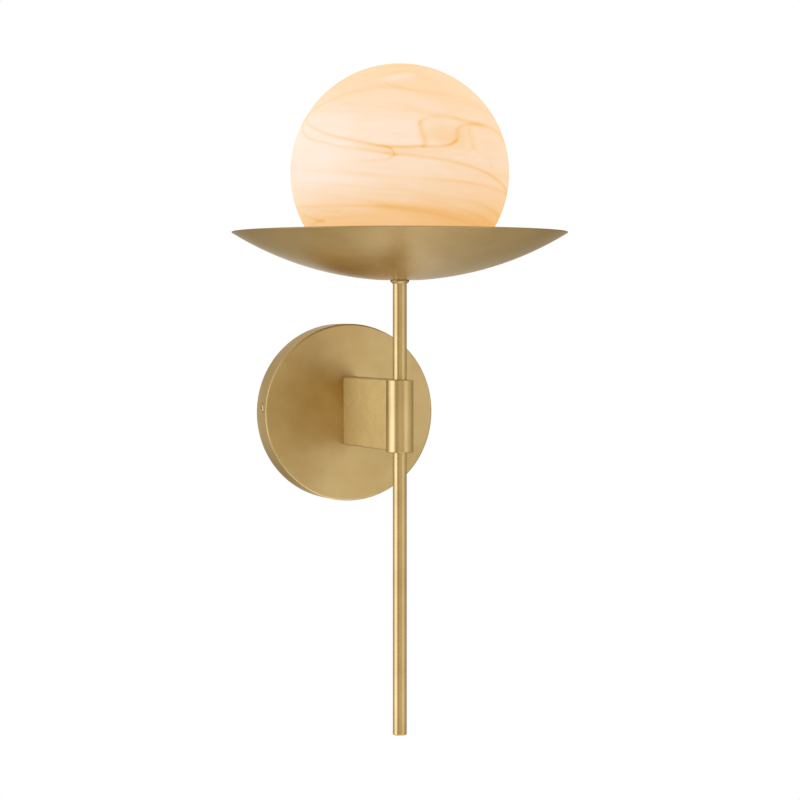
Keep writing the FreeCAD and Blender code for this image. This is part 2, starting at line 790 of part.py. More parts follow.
def make_lamp_board():
    half_x = lamp_board_width / 2
    half_y = lamp_board_thickness / 2
    centre = -stem_axis_out
    start = lamp_collar_top
    return box((-half_x, half_x), (centre - half_y, centre + half_y),
               (start, start + lamp_board_height))


def make_lamp_chips():
    chips = []
    half = lamp_chip_size / 2
    centre = -stem_axis_out
    near = lamp_board_thickness / 2
    far = near + lamp_chip_thickness
    first = lamp_collar_top + (lamp_board_height - (lamp_chip_rows - 1) * lamp_chip_pitch) / 2
    for row in range(lamp_chip_rows):
        middle = first + row * lamp_chip_pitch
        for side in (1, -1):
            reach = sorted((centre + side * near, centre + side * far))
            chips.append(box((-half, half), reach, (middle - half, middle + half)))
    return group(chips)


# ---------------------------------------------------------------- terminal block and earth
def pole_sides():
    middle = (terminal_poles - 1) / 2
    return [(pole - middle) * terminal_pitch for pole in range(terminal_poles)]


def terminal_screw_sides():
    return [-terminal_pitch / 2, terminal_pitch / 2]


def clamp_screw_heights():
    return [terminal_middle - clamp_screw_offset, terminal_middle + clamp_screw_offset]


def make_terminal_block():
    half = terminal_pitch * terminal_poles / 2
    low = terminal_top - terminal_height
    front = terminal_back + terminal_depth
    block = box((-half, half), (-front, -terminal_back), (low, terminal_top))
    front_edges = [edge for edge in block.Edges if edge.BoundBox.YMax < -front + pick_margin]
    block = block.makeFillet(terminal_edge_radius, front_edges)
    for x in pole_sides():
        start = V(x, -terminal_axis, low - cut_margin)
        pole_hole = cylinder(clamp_radius + thread_gap, terminal_height + 2 * cut_margin, start, UP)
        block = block.cut(pole_hole)
        for z in clamp_screw_heights():
            well = cylinder(clamp_screw_radius + screw_clearance, terminal_depth, V(x, -terminal_axis, z),
                            TO_ROOM)
            block = block.cut(well)
    for x in terminal_screw_sides():
        start = V(x, cut_margin, terminal_middle)
        fixing_hole = cylinder(terminal_screw_radius + screw_clearance, front + 2 * cut_margin, start,
                               TO_ROOM)
        block = block.cut(fixing_hole)
    return block


def make_terminal_clamps():
    clamps = []
    start_height = terminal_middle - clamp_length / 2
    for x in pole_sides():
        body = tube(clamp_radius, clamp_bore_radius, clamp_length, V(x, -terminal_axis, start_height), UP)
        for z in clamp_screw_heights():
            tapped = cylinder(clamp_screw_radius + thread_gap, clamp_radius + cut_margin,
                              V(x, -terminal_axis, z), TO_ROOM)
            body = body.cut(tapped)
        clamps.append(body)
    return group(clamps)


def make_clamp_screws():
    screws = []
    tip = terminal_axis + ferrule_radius + clamp_screw_tip_gap
    for x in pole_sides():
        for z in clamp_screw_heights():
            body = grub_screw(clamp_screw_radius, clamp_screw_length, set_screw_socket_width,
                              set_screw_socket_depth)
            screws.append(pointed(body, V(x, -tip - clamp_screw_length, z), TO_ROOM))
    return group(screws)


def make_terminal_screws():
    screws = []
    seat = terminal_back + terminal_depth
    length = seat - terminal_screw_end_gap
    for x in terminal_screw_sides():
        body = screw(terminal_screw_radius, length, terminal_screw_head_radius,
                     terminal_screw_head_height)
        screws.append(pointed(body, V(x, -seat, terminal_middle), TO_ROOM))
    return group(screws)


def make_earth_tag():
    centre = V(earth_screw_offset, -backing_front, arm_middle)
    disc = cylinder(earth_tag_radius, earth_tag_thickness, centre, TO_WALL)
    hole = cylinder(earth_screw_radius + thread_gap, earth_tag_thickness + 2 * cut_margin,
                    centre - TO_WALL * cut_margin, TO_WALL)
    barrel_top = arm_middle - earth_tag_radius
    barrel_start = V(earth_screw_offset, -earth_barrel_axis, barrel_top - earth_barrel_length)
    barrel = cylinder(earth_barrel_radius, earth_barrel_length, barrel_start, UP)
    half = earth_barrel_radius
    neck = box((earth_screw_offset - half, earth_screw_offset + half),
               (-backing_front, earth_tag_thickness - backing_front),
               (barrel_top - earth_neck_overlap, arm_middle))
    socket_start = barrel_start - UP * cut_margin
    socket = cylinder(ferrule_radius + thread_gap, ferrule_length + cut_margin, socket_start, UP)
    return disc.fuse(neck).fuse(barrel).cut(hole).cut(socket).removeSplitter()


def earth_screw_shape(plate_thickness):
    length = earth_tag_thickness + plate_thickness - earth_screw_end_gap
    return screw(earth_screw_radius, length, earth_screw_head_radius, earth_screw_head_height)


def make_earth_screw():
    seat = backing_front - earth_tag_thickness
    body = earth_screw_shape(backing_plate_thickness)
    return pointed(body, V(earth_screw_offset, -seat, arm_middle), TO_WALL)


def make_bracket_earth_screw():
    seat = bracket_thickness + earth_tag_thickness
    body = earth_screw_shape(bracket_thickness)
    return pointed(body, V(bracket_earth_side, -seat, bracket_earth_height), TO_ROOM)


def make_bracket_earth_washer():
    start = V(bracket_earth_side, -bracket_thickness, bracket_earth_height)
    return tube(earth_tag_radius, earth_screw_radius + thread_gap, earth_tag_thickness, start, TO_ROOM)


# ---------------------------------------------------------------- leads
def lamp_lead(pole, side):
    """From a pole of the terminal block through arm, collar and stem to a contact's barrel."""
    x_block = pole_sides()[pole]
    x_arm = side * lead_half_spacing
    x_contact = side * pin_spacing / 2
    above_block = terminal_top + lead_rise_from_block
    slant_bottom = holder_plate_top + lead_radius / 2
    slant_top = barrel_bottom - lead_radius
    points = [V(x_block, -terminal_axis, terminal_top), V(x_block, -terminal_axis, above_block),
              V(x_arm, -terminal_axis, arm_middle), on_stem(arm_middle, across=x_arm),
              on_stem(slant_bottom, across=x_arm), on_stem(slant_top, across=x_contact),
              on_stem(barrel_bottom, across=x_contact)]
    return lead(points, lead_elbow_radius)


def earth_lead():
    """From the last pole of the terminal block to the barrel of the earth tag."""
    x_block = pole_sides()[-1]
    barrel_bottom_end = arm_middle - earth_tag_radius - earth_barrel_length
    first_bend = terminal_top + earth_lead_rise
    second_bend = barrel_bottom_end - earth_lead_drop
    points = [V(x_block, -terminal_axis, terminal_top), V(x_block, -terminal_axis, first_bend),
              V(earth_screw_offset, -earth_barrel_axis, second_bend),
              V(earth_screw_offset, -earth_barrel_axis, barrel_bottom_end)]
    return lead(points, lead_elbow_radius)


def make_ferrules():
    ferrules = []
    for x in pole_sides():
        ferrules.append(cylinder(ferrule_radius, clamp_ferrule_length,
                                 V(x, -terminal_axis, terminal_top), -UP))
    for side in (1, -1):
        start = on_stem(barrel_bottom, across=side * pin_spacing / 2)
        ferrules.append(cylinder(ferrule_radius, ferrule_length, start, UP))
    tag_end = arm_middle - earth_tag_radius - earth_barrel_length
    ferrules.append(cylinder(ferrule_radius, ferrule_length,
                             V(earth_screw_offset, -earth_barrel_axis, tag_end), UP))
    return group(ferrules)


# ---------------------------------------------------------------- the whole light
def make_all():
    return {
        "wall_bracket": make_wall_bracket(),
        "bracket_earth_screw": make_bracket_earth_screw(),
        "bracket_earth_washer": make_bracket_earth_washer(),
        "terminal_block": make_terminal_block(),
        "terminal_clamps": make_terminal_clamps(),
        "clamp_screws": make_clamp_screws(),
        "terminal_screws": make_terminal_screws(),
        "canopy": make_canopy(),
        "side_screw_left": make_side_screw(-1),
        "side_screw_right": make_side_screw(1),
        "backing_plate": make_backing_plate(),
        "arm_screws": make_arm_screws(),
        "arm_spring_washers": make_spring_washers(),
        "lead_bush": make_lead_bush(),
        "earth_tag": make_earth_tag(),
        "earth_screw": make_earth_screw(),
        "arm": make_arm(),
        "arm_end_block": make_arm_end_block(),
        "collar": make_collar(),
        "collar_set_screws": make_collar_set_screws(),
        "stem_upper": make_stem_upper(),
        "stem_lower": make_stem_lower(),
        "stem_end_plug": make_stem_end_plug(),
        "dish_seat_ring": make_dish_seat_ring(),
        "dish": make_dish(),
        "globe_gallery": make_globe_gallery(),
        "gallery_gasket": make_gallery_gasket(),
        "gallery_lock_washer": make_gallery_lock_washer(),
        "stem_nut": make_stem_nut(),
        "globe": make_globe(),
        "lampholder_base": make_holder_base(),
        "lampholder_body": make_holder_body(),
        "lampholder_contacts": make_holder_contacts(),
        "lampholder_screws": make_holder_screws(),
        "lamp_base": make_lamp_base(),
        "lamp_pins": make_lamp_pins(),
        "lamp_board": make_lamp_board(),
        "lamp_chips": make_lamp_chips(),
        "lamp_cover": make_lamp_cover(),
        "live_lead": lamp_lead(0, -1),
        "neutral_lead": lamp_lead(1, 1),
        "earth_lead": earth_lead(),
        "lead_ferrules": make_ferrules(),
    }


os.makedirs("parts", exist_ok=True)
for node, shape in make_all().items():
    shape.exportStep("parts/%s.step" % node)
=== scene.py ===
"""Looks of the uplighter wall sconce: brushed brass, a lit swirled glass globe, studio and camera.

Everything is in metres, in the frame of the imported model: the wall is the plane y = 0, the light
stands out of it towards -Y, and +Z is up.
"""
import json
import math

import bpy
import bmesh
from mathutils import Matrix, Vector


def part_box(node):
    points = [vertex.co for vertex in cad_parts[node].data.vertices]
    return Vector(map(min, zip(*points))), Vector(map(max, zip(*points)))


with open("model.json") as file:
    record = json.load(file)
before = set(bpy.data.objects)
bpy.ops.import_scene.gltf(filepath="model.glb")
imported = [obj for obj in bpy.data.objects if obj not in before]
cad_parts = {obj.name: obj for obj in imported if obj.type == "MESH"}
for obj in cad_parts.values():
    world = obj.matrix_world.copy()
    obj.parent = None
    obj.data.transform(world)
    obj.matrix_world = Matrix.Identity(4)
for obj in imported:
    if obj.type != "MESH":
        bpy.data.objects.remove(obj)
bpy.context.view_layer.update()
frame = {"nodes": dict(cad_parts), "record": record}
nodes = frame["nodes"]

# ---------------------------------------------------------------- places taken from the frame
globe_low, globe_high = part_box("globe")
dish_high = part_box("dish")[1]
collar_low, collar_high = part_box("collar")
stem_axis = Vector(((collar_low.x + collar_high.x) / 2, (collar_low.y + collar_high.y) / 2, 0))
globe_radius = (globe_high.x - globe_low.x) / 2
globe_centre = Vector((stem_axis.x, stem_axis.y, globe_high.z - globe_radius))
arm_low, arm_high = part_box("arm")
canopy_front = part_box("canopy")[0].y
ring_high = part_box("dish_seat_ring")[1]

# ---------------------------------------------------------------- camera, as the photograph's
camera_place = Vector((-0.60911, -1.68067, 0.06736))
camera_heading = math.radians(21.315)    # to the right of straight at the wall
camera_pitch_down = math.radians(1.895)
sensor_width = 36.0
focal_length = 110.63

# ---------------------------------------------------------------- colours, linear
brass_colour = (0.520, 0.365, 0.150)
brass_dark = (0.450, 0.300, 0.110)
glass_tones = [(0.0, (1.000, 0.830, 0.690)), (0.4, (0.985, 0.690, 0.430)),
               (0.7, (0.970, 0.604, 0.283)), (1.0, (0.920, 0.505, 0.170))]


# ---------------------------------------------------------------- node helpers
class Tree:
    """Adds nodes to a node tree and links them, one short call each."""

    def __init__(self, tree):
        self.tree = tree
        tree.nodes.clear()

    def add(self, kind, **settings):
        node = self.tree.nodes.new(kind)
        for name, value in settings.items():
            setattr(node, name, value)
        return node

    def put(self, socket, value):
        if isinstance(value, bpy.types.NodeSocket):
            self.tree.links.new(value, socket)
        elif value is not None:
            socket.default_value = value

    def math(self, operation, a, b=None):
        node = self.add("ShaderNodeMath", operation=operation)
        for socket, value in zip(node.inputs, (a, b)):
            self.put(socket, value)
        return node.outputs[0]

    def vector(self, operation, a, b=None, scale=None):
        node = self.add("ShaderNodeVectorMath", operation=operation)
        self.put(node.inputs[0], a)
        self.put(node.inputs[1], b)
        if scale is not None:
            self.put(node.inputs["Scale"], scale)
        return node.outputs["Value"] if operation in ("DOT_PRODUCT", "LENGTH") else node.outputs[0]

    def split(self, vector):
        node = self.add("ShaderNodeSeparateXYZ")
        self.put(node.inputs[0], vector)
        return node.outputs

    def join(self, x, y, z):
        node = self.add("ShaderNodeCombineXYZ")
        for socket, value in zip(node.inputs, (x, y, z)):
            self.put(socket, value)
        return node.outputs[0]

    def ramp(self, value, low, high, to_low=0.0, to_high=1.0, smooth=True):
        node = self.add("ShaderNodeMapRange", interpolation_type="SMOOTHSTEP" if smooth else "LINEAR")
        for socket, item in zip(node.inputs, (value, low, high, to_low, to_high)):
            self.put(socket, item)
        return node.outputs[0]

    def noise(self, vector, scale, detail=2.0, roughness=0.5, distortion=0.0):
        node = self.add("ShaderNodeTexNoise")
        self.put(node.inputs["Vector"], vector)
        self.put(node.inputs["Scale"], scale)
        self.put(node.inputs["Detail"], detail)
        self.put(node.inputs["Roughness"], roughness)
        self.put(node.inputs["Distortion"], distortion)
        return node

    def mix_value(self, share, a, b):
        node = self.add("ShaderNodeMix", data_type="FLOAT")
        self.put(node.inputs[0], share)
        self.put(node.inputs[2], a)
        self.put(node.inputs[3], b)
        return node.outputs[0]

    def mix(self, share, a, b):
        node = self.add("ShaderNodeMix", data_type="RGBA")
        self.put(node.inputs["Factor"], share)
        for name, value in (("A", a), ("B", b)):
            socket = [s for s in node.inputs if s.name == name and s.type == "RGBA"][0]
            self.put(socket, (*value, 1.0) if isinstance(value, tuple) else value)
        return [s for s in node.outputs if s.type == "RGBA"][0]

    def curve(self, value, points):
        """A smooth curve through points given as (place, height)."""
        start, end = points[0][0], points[-1][0]
        bottom = min(height for place, height in points)
        top = max(height for place, height in points)
        node = self.add("ShaderNodeFloatCurve")
        curve = node.mapping.curves[0]
        spots = [((place - start) / (end - start), (height - bottom) / (top - bottom))
                 for place, height in points]
        curve.points[0].location = spots[0]
        curve.points[-1].location = spots[-1]
        for spot in spots[1:-1]:
            curve.points.new(*spot)
        node.mapping.update()
        self.put(node.inputs["Value"], self.ramp(value, start, end, smooth=False))
        return self.ramp(node.outputs[0], 0.0, 1.0, bottom, top, smooth=False)

    def tones(self, value, stops):
        """A colour ramp through stops given as (place, colour)."""
        node = self.add("ShaderNodeValToRGB")
        elements = node.color_ramp.elements
        elements[0].position = stops[0][0]
        elements[1].position = stops[-1][0]
        for place, colour in stops[1:-1]:
            elements.new(place)
        for element, (place, colour) in zip(elements, stops):
            element.color = (*colour, 1.0)
        self.put(node.inputs[0], value)
        return node.outputs[0]

    def bump(self, height, distance):
        node = self.add("ShaderNodeBump")
        self.put(node.inputs["Height"], height)
        self.put(node.inputs["Distance"], distance)
        return node.outputs[0]


def new_material(name):
    material = bpy.data.materials.new(name)
    material.use_nodes = True
    tree = Tree(material.node_tree)
    shader = tree.add("ShaderNodeBsdfPrincipled")
    output = tree.add("ShaderNodeOutputMaterial")
    tree.put(output.inputs["Surface"], shader.outputs[0])
    return material, tree, shader


def object_point(tree, centre=None):
    place = tree.add("ShaderNodeTexCoord").outputs["Object"]
    if centre is None:
        return place
    return tree.vector("SUBTRACT", place, tuple(centre))


# ---------------------------------------------------------------- brass
fine_lines = 2600.0                  # noise per metre along a turned profile
broad_lines = 500.0
level_weight = 1.7                   # a step in level moves along the profile as much as this in radius
least_radius = 0.0005                # keeps the division by the radius safe at the axis
fine_pits = 1400.0                   # noise per metre on the blasted arm
broad_pits = 160.0
fine_share = 0.6                     # of the grain, the rest being the broad part
patina_scale = 22.0
patina_to_grain = 0.45               # how much of the tone is grain, the rest being patina
grain_depth = 0.000012
roughness_smoother = 0.04            # how far the grain takes the roughness below and above its value
roughness_rougher = 0.05
tangent_turn = 0.25                  # a quarter turn, so that the highlight runs across the lines

# Painted shade: a darker, redder line starts this deep below an edge and is full this close to it. A share is
# how strong it gets.
edge_shade_colour = (0.18, 0.08, 0.03)
edge_shade_full = 0.0004
rim_shade_depth = 0.0009
rim_shade_share = 0.55
ring_shadow_depth = 0.0011
ring_shadow_share = 0.70
arm_edge_shade_depth = 0.0013
arm_edge_shade_share = 0.40
arm_root_shadow_depth = 0.0025
arm_root_shadow_share = 0.30
arm_spot_scale = 560.0
arm_spot_share = 0.10


def fine_and_broad(tree, fine, broad):
    return tree.math("ADD", tree.math("MULTIPLY", fine, fine_share),
                     tree.math("MULTIPLY", broad, 1.0 - fine_share))


def turned_grain(tree, point, axis):
    """Fine lines round an axis, as a lathe leaves them: high along the profile, long round it."""
    x, y, z = tree.split(point)
    if axis == "Y":
        across, along, level = x, z, y
    else:
        across, along, level = x, y, z
    radius = tree.math("SQRT", tree.math("ADD", tree.math("MULTIPLY", across, across),
                                         tree.math("MULTIPLY", along, along)))
    safe = tree.math("MAXIMUM", radius, least_radius)
    round_x = tree.math("DIVIDE", across, safe)
    round_y = tree.math("DIVIDE", along, safe)
    profile = tree.math("ADD", radius, tree.math("MULTIPLY", level, level_weight))
    fine_place = tree.join(tree.math("MULTIPLY", profile, fine_lines), round_x, round_y)
    broad_place = tree.join(tree.math("MULTIPLY", profile, broad_lines), tree.math("MULTIPLY", round_x, 2.0),
                            tree.math("MULTIPLY", round_y, 2.0))
    fine = tree.noise(fine_place, 1.0, detail=3.0, roughness=0.6).outputs["Fac"]
    broad = tree.noise(broad_place, 1.0, detail=2.0, roughness=0.5).outputs["Fac"]
    return fine_and_broad(tree, fine, broad)


def blasted_grain(tree, point):
    """Small soft pits without a direction."""
    fine = tree.noise(point, fine_pits, detail=3.0, roughness=0.6).outputs["Fac"]
    broad = tree.noise(point, broad_pits, detail=2.0, roughness=0.5).outputs["Fac"]
    return fine_and_broad(tree, fine, broad)


def shade_below_edge(tree, place, edge, depth, share):
    """A painted shade: a darker line just below an edge."""
    return tree.ramp(place, edge - depth, edge - edge_shade_full, 0.0, share)


def rim_shade(tree, point):
    """A painted shade: a redder, darker line along the dish's rim."""
    z = tree.split(point)[2]
    return shade_below_edge(tree, z, dish_high.z, rim_shade_depth, rim_shade_share)


def ring_shadow(tree, point):
    """A painted contact shadow: a darker line along the seat ring's upper edge, just below the dish."""
    z = tree.split(point)[2]
    return shade_below_edge(tree, z, ring_high.z, ring_shadow_depth, ring_shadow_share)


def arm_shade_and_spots(tree, point):
    """A darker tone: painted shade along the arm's upper and lower edges, a painted shadow by the canopy, and
    small soft spots in its grain.
    """
    y, z = tree.split(point)[1:3]
    from_middle = tree.math("ABSOLUTE", tree.math("SUBTRACT", z, (arm_low.z + arm_high.z) / 2))
    half_height = (arm_high.z - arm_low.z) / 2
    # painted shade along the arm's upper and lower edges
    edge = shade_below_edge(tree, from_middle, half_height, arm_edge_shade_depth, arm_edge_shade_share)
    # painted shadow where the arm meets the canopy
    root = tree.ramp(y, canopy_front - arm_root_shadow_depth, canopy_front, 0.0, arm_root_shadow_share)
    cloud = tree.noise(point, arm_spot_scale, detail=2.0, roughness=0.6).outputs["Fac"]
    spots = tree.ramp(cloud, 0.35, 0.65, 0.0, arm_spot_share)
    return tree.math("ADD", tree.math("MAXIMUM", edge, root), spots)


def brass(name, axis=None, centre=None, roughness=0.30, anisotropy=0.0, tint_and_painted_light=(1.0, 1.0, 1.0),
          metallic=1.0, painted_shade_and_spots=None, lines=1.0):
    """Brushed round an axis, or blasted where there is none. Lines is how strong the grain shows."""
    material, tree, shader = new_material(name)
    point = object_point(tree, centre)
    grain = turned_grain(tree, point, axis) if axis else blasted_grain(tree, point)
    patina = tree.noise(point, patina_scale, detail=3.0, roughness=0.6).outputs["Fac"]
    tone = tree.mix_value(patina_to_grain * lines, patina, grain)
    # the brass tones, scaled: a lighter copy is painted light, a darker one painted shade, and uneven factors
    # add a tint
    dark = tuple(share * part for share, part in zip(tint_and_painted_light, brass_dark))
    light = tuple(share * part for share, part in zip(tint_and_painted_light, brass_colour))
    colour = tree.mix(tree.ramp(tone, 0.35, 0.65), dark, light)
    # painted shade along an edge, and on the arm also the darker spots of its grain
    if painted_shade_and_spots:
        colour = tree.mix(painted_shade_and_spots(tree, point), colour, edge_shade_colour)
    tree.put(shader.inputs["Base Color"], colour)
    uneven = tree.ramp(grain, 0.2, 0.8, roughness - roughness_smoother, roughness + roughness_rougher)
    tree.put(shader.inputs["Roughness"], uneven)
    tree.put(shader.inputs["Normal"], tree.bump(grain, grain_depth * lines))
    shader.inputs["Metallic"].default_value = metallic
    if anisotropy:
        shader.inputs["Anisotropic"].default_value = anisotropy
        shader.inputs["Anisotropic Rotation"].default_value = tangent_turn
        tangent = tree.add("ShaderNodeTangent", direction_type="RADIAL", axis=axis)
        tree.put(shader.inputs["Tangent"], tangent.outputs[0])
    return material


# ---------------------------------------------------------------- the hidden pieces' materials
def plain(name, dark, light, roughness, metallic=0.0, scale=90.0, bump=0.00002):
    """A moulded, plated or glazed surface: two close tones, soft unevenness and a fine bump."""
    material, tree, shader = new_material(name)
    point = object_point(tree)
    cloud = tree.noise(point, scale, 4.0, 0.6).outputs["Fac"]
    speck = tree.noise(point, scale * 12, 2.0, 0.5).outputs["Fac"]
    tree.put(shader.inputs["Base Color"], tree.mix(tree.ramp(cloud, 0.3, 0.7), dark, light))
    tree.put(shader.inputs["Roughness"], tree.ramp(speck, 0.3, 0.7, roughness - 0.05, roughness + 0.05))
    tree.put(shader.inputs["Normal"], tree.bump(speck, bump))
    shader.inputs["Metallic"].default_value = metallic
    return material


# ---------------------------------------------------------------- swirled glass
# Heights and half widths are shares of the globe's radius, heights from its centre. Longitudes are in
# degrees past the side that shows in front. A vein is (half width below, half width above, points),
# and a point is (longitude, height, strength). A negative strength is a paler streak.
# The front veins' places are chosen, most of them against a grid of longitude and height that
# was drawn over the photo. What lies past the globe's edge in the photo, and the whole back, is made up.
globe_front = camera_heading
trace = 0.06
faint = 0.09
light = 0.12
soft = 0.16
clear = 0.22
firm = 0.29
dark = 0.36
deep = 0.48
front_veins = [
    # the long vein from the left edge, under both arches, and the soft shade below it
    (0.015, 0.013, [(-79, 0.52, 0), (-73, 0.465, clear), (-66, 0.425, clear), (-57, 0.38, clear),
                    (-40, 0.298, firm), (-20, 0.222, dark), (-10, 0.187, deep), (0, 0.175, deep),
                    (10, 0.182, deep), (20, 0.185, dark), (25, 0.195, deep), (30, 0.23, deep),
                    (32, 0.27, 0)]),
    (0.040, 0.030, [(-24, 0.19, 0), (-10, 0.165, light), (0, 0.14, soft), (14, 0.14, light),
                    (26, 0.165, light), (38, 0.19, 0)]),
    # the shade between the arches
    (0.070, 0.100, [(9, 0.30, 0), (16, 0.29, soft), (24, 0.27, clear), (31, 0.26, clear),
                    (38, 0.28, faint), (46, 0.30, 0)]),
    # the dark streak at the upper left
    (0.018, 0.016, [(-77, 0.46, 0), (-75, 0.49, clear), (-68, 0.565, firm), (-62, 0.595, clear),
                    (-55, 0.62, soft), (-47, 0.632, light), (-38, 0.63, 0)]),
    # the long vein from the left edge down to the right edge
    (0.015, 0.015, [(-92, 0.54, 0), (-84, 0.49, clear), (-76, 0.42, firm), (-67, 0.34, clear),
                    (-60, 0.295, clear), (-50, 0.252, clear), (-40, 0.217, clear), (-30, 0.18, clear),
                    (-20, 0.158, clear), (-10, 0.13, firm), (-3, 0.11, deep), (2, 0.106, firm),
                    (10, 0.092, firm), (20, 0.071, firm), (30, 0.047, firm), (40, 0.012, firm),
                    (50, -0.03, dark), (60, -0.08, dark), (70, -0.127, dark), (80, -0.18, dark),
                    (90, -0.24, clear), (120, -0.34, 0)]),
    # the hook that joins these two, and its faint tail
    (0.014, 0.014, [(-12, 0.185, 0), (-8, 0.18, clear), (-5.5, 0.168, dark), (-4, 0.15, deep),
                    (-3, 0.125, deep), (-2, 0.09, 0)]),
    (0.014, 0.014, [(-45, 0.05, 0), (-25, 0.05, trace), (-14, 0.055, faint), (-9, 0.06, soft),
                    (-6, 0.073, clear), (-3.3, 0.095, dark), (-2, 0.12, 0)]),
    # the top of the arches, its thickening, and the faint line under them
    (0.018, 0.018, [(9.5, 0.36, 0), (10.7, 0.39, clear), (12.7, 0.417, soft), (16, 0.44, light),
                    (22, 0.458, clear), (30, 0.451, clear), (35, 0.441, dark), (40, 0.424, firm),
                    (46, 0.41, dark), (53, 0.403, dark), (59, 0.395, firm), (65, 0.375, clear),
                    (70, 0.35, clear), (84, 0.27, clear), (100, 0.22, 0)]),
    (0.022, 0.016, [(33, 0.38, 0), (37, 0.388, light), (42, 0.395, clear), (47, 0.40, firm),
                    (53, 0.397, soft), (60, 0.388, 0)]),
    (0.016, 0.016, [(14, 0.095, 0), (30, 0.115, trace), (36, 0.134, faint), (40, 0.164, light),
                    (43, 0.20, 0)]),
    # soft slanting streaks below the middle
    (0.016, 0.014, [(-110, 0.05, 0), (-80, 0.03, trace), (-60, 0.0, trace), (-30, -0.037, trace),
                    (-10, -0.073, faint), (10, -0.10, faint), (28, -0.117, clear), (40, -0.13, clear),
                    (61, -0.168, soft), (72, -0.187, clear), (90, -0.22, soft), (125, -0.27, 0)]),
    (0.018, 0.016, [(-120, -0.06, 0), (-60, -0.11, trace), (-30, -0.153, faint), (-15, -0.185, faint),
                    (0, -0.20, light), (10, -0.225, faint), (20, -0.25, faint), (30, -0.267, faint),
                    (40, -0.29, faint), (60, -0.347, soft), (76, -0.39, soft), (95, -0.43, faint),
                    (130, -0.47, 0)]),
    (0.016, 0.016, [(-110, -0.12, 0), (-70, -0.175, trace), (-50, -0.217, trace), (-30, -0.263, faint),
                    (-20, -0.287, faint), (-10, -0.313, faint), (0, -0.34, faint), (12, -0.37, 0)]),
    (0.014, 0.014, [(-120, -0.27, 0), (-60, -0.325, light), (-40, -0.332, soft), (-20, -0.336, clear),
                    (-10, -0.343, clear), (0, -0.36, soft), (6, -0.375, faint), (15, -0.392, trace),
                    (38, -0.455, trace), (60, -0.52, 0)]),
    # the broad dark band above the dish, and a streak that runs down into it
    (0.060, 0.035, [(-30, -0.33, 0), (-15, -0.335, faint), (-5, -0.345, clear), (6, -0.36, clear),
                    (20, -0.385, clear), (35, -0.42, soft), (55, -0.46, light), (75, -0.50, 0)]),
    (0.015, 0.013, [(5, -0.25, 0), (20, -0.30, faint), (30, -0.342, faint), (40, -0.375, light),
                    (50, -0.405, faint), (60, -0.442, light), (72, -0.48, faint), (90, -0.52, 0)]),
    # short dark marks at the lower left
    (0.016, 0.014, [(-50, -0.42, 0), (-38, -0.434, soft), (-28, -0.429, light), (-11, -0.425, trace),
                    (20, -0.47, 0)]),
    (0.014, 0.014, [(-78, -0.39, 0), (-67, -0.412, soft), (-60, -0.43, clear), (-52.5, -0.453, clear),
                    (-48, -0.46, 0)]),
    (0.014, 0.014, [(-76, -0.50, 0), (-65, -0.485, soft), (-59, -0.47, clear), (-53, -0.457, clear),
                    (-49, -0.452, 0)]),
    (0.014, 0.012, [(-54, -0.365, 0), (-43, -0.374, light), (-34, -0.375, 0)]),
    # the bands round the top
    (0.016, 0.035, [(-55, 0.62, 0), (-40, 0.675, faint), (-30, 0.70, light), (-20, 0.716, light),
                    (-8, 0.723, light), (0, 0.712, light), (10, 0.69, faint), (20, 0.662, faint),
                    (30, 0.636, trace), (40, 0.61, trace), (60, 0.555, faint), (71, 0.512, faint),
                    (90, 0.46, 0)]),
    (0.016, 0.014, [(-14, 0.80, 0), (-12, 0.785, light), (-10, 0.755, soft), (-5, 0.735, soft),
                    (0, 0.72, soft), (14, 0.69, light), (38, 0.663, faint), (60, 0.64, 0)]),
    (0.014, 0.040, [(-41, 0.53, 0), (-40, 0.55, faint), (-37, 0.575, faint), (-30, 0.563, trace),
                    (-19, 0.537, trace), (0, 0.513, faint), (10, 0.495, light), (18, 0.47, faint),
                    (24, 0.46, 0)]),
    (0.032, 0.032, [(-17, 0.80, 0), (-10, 0.81, -soft), (0, 0.83, -clear), (9, 0.845, -clear),
                    (16, 0.85, 0)]),
    (0.014, 0.014, [(-30, 0.80, 0), (-22, 0.83, faint), (-10, 0.865, light), (4, 0.885, light),
                    (16, 0.88, light), (24, 0.86, faint), (32, 0.84, 0)]),
    (0.020, 0.015, [(-70, 0.93, 0), (-30, 0.945, light), (0, 0.955, clear), (30, 0.95, faint),
                    (70, 0.94, 0)]),
    (0.014, 0.014, [(50, 0.64, 0), (60, 0.615, faint), (66, 0.60, 0)]),
]
back_veins = [
    (0.015, 0.014, [(-90, 0.30, 0), (-60, 0.24, clear), (-35, 0.22, firm), (-10, 0.27, dark),
                    (10, 0.33, dark), (30, 0.33, dark), (55, 0.27, firm), (80, 0.24, clear),
                    (100, 0.22, 0)]),
    (0.016, 0.014, [(-95, -0.05, 0), (-60, -0.02, clear), (-20, 0.05, firm), (5, 0.11, dark),
                    (20, 0.13, firm), (45, 0.08, clear), (75, 0.0, clear), (100, -0.05, 0)]),
    (0.016, 0.030, [(-80, 0.55, 0), (-40, 0.60, light), (0, 0.57, soft), (40, 0.50, light),
                    (80, 0.46, 0)]),
    (0.018, 0.015, [(-90, -0.25, 0), (-40, -0.20, light), (0, -0.22, soft), (50, -0.30, soft),
                    (90, -0.33, 0)]),
    (0.040, 0.025, [(-90, -0.40, 0), (-40, -0.36, soft), (10, -0.42, clear), (60, -0.50, 0)]),
]
